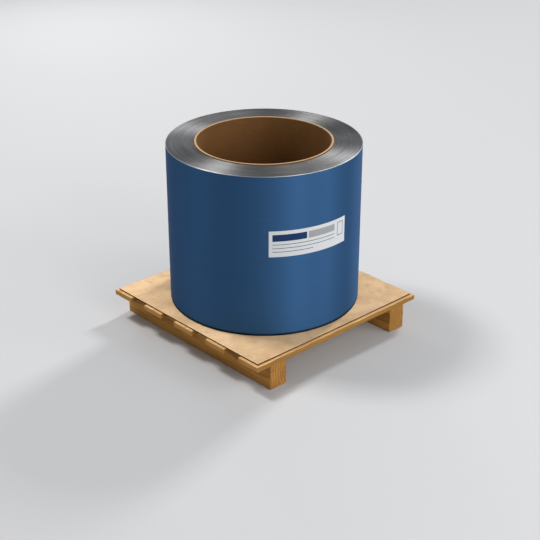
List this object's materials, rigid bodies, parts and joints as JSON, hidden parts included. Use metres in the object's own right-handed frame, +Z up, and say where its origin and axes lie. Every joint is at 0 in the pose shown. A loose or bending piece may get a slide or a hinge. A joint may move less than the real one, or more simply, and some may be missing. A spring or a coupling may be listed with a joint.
{
  "type": "steel coil",
  "caption": "Prepainted steel strip wound on a fibre core, standing eye to the sky on a small nailed wooden pallet with a fibre sheet under it.",
  "frame": {"origin": "on the floor, under the middle of the pallet and on the coil's axis", "axes": "+Z up along the coil's axis, X along the deck boards, Y along the runners and the way the forks enter"},
  "size_m": [0.845, 0.845, 0.764],
  "materials": {
    "painted_steel": "blue coil coating on the outside, bare slit edges at the ends",
    "fibre_tube": "wound fibre plies",
    "label_paper": "matt",
    "kraft_sheet": "pressed fibre",
    "board_wood": "sawn softwood",
    "runner_wood": "sawn softwood",
    "nail_steel": "bright wire"
  },
  "bodies": {
    "root": {"coil": "painted_steel", "fibre_core": "fibre_tube", "label": "label_paper", "deck_sheet": "kraft_sheet", "deck_board_1": "board_wood", "deck_board_2": "board_wood", "deck_board_3": "board_wood", "deck_board_4": "board_wood", "deck_board_5": "board_wood", "runner_left": "runner_wood", "runner_right": "runner_wood", "nails": "nail_steel"}
  },
  "joints": []
}
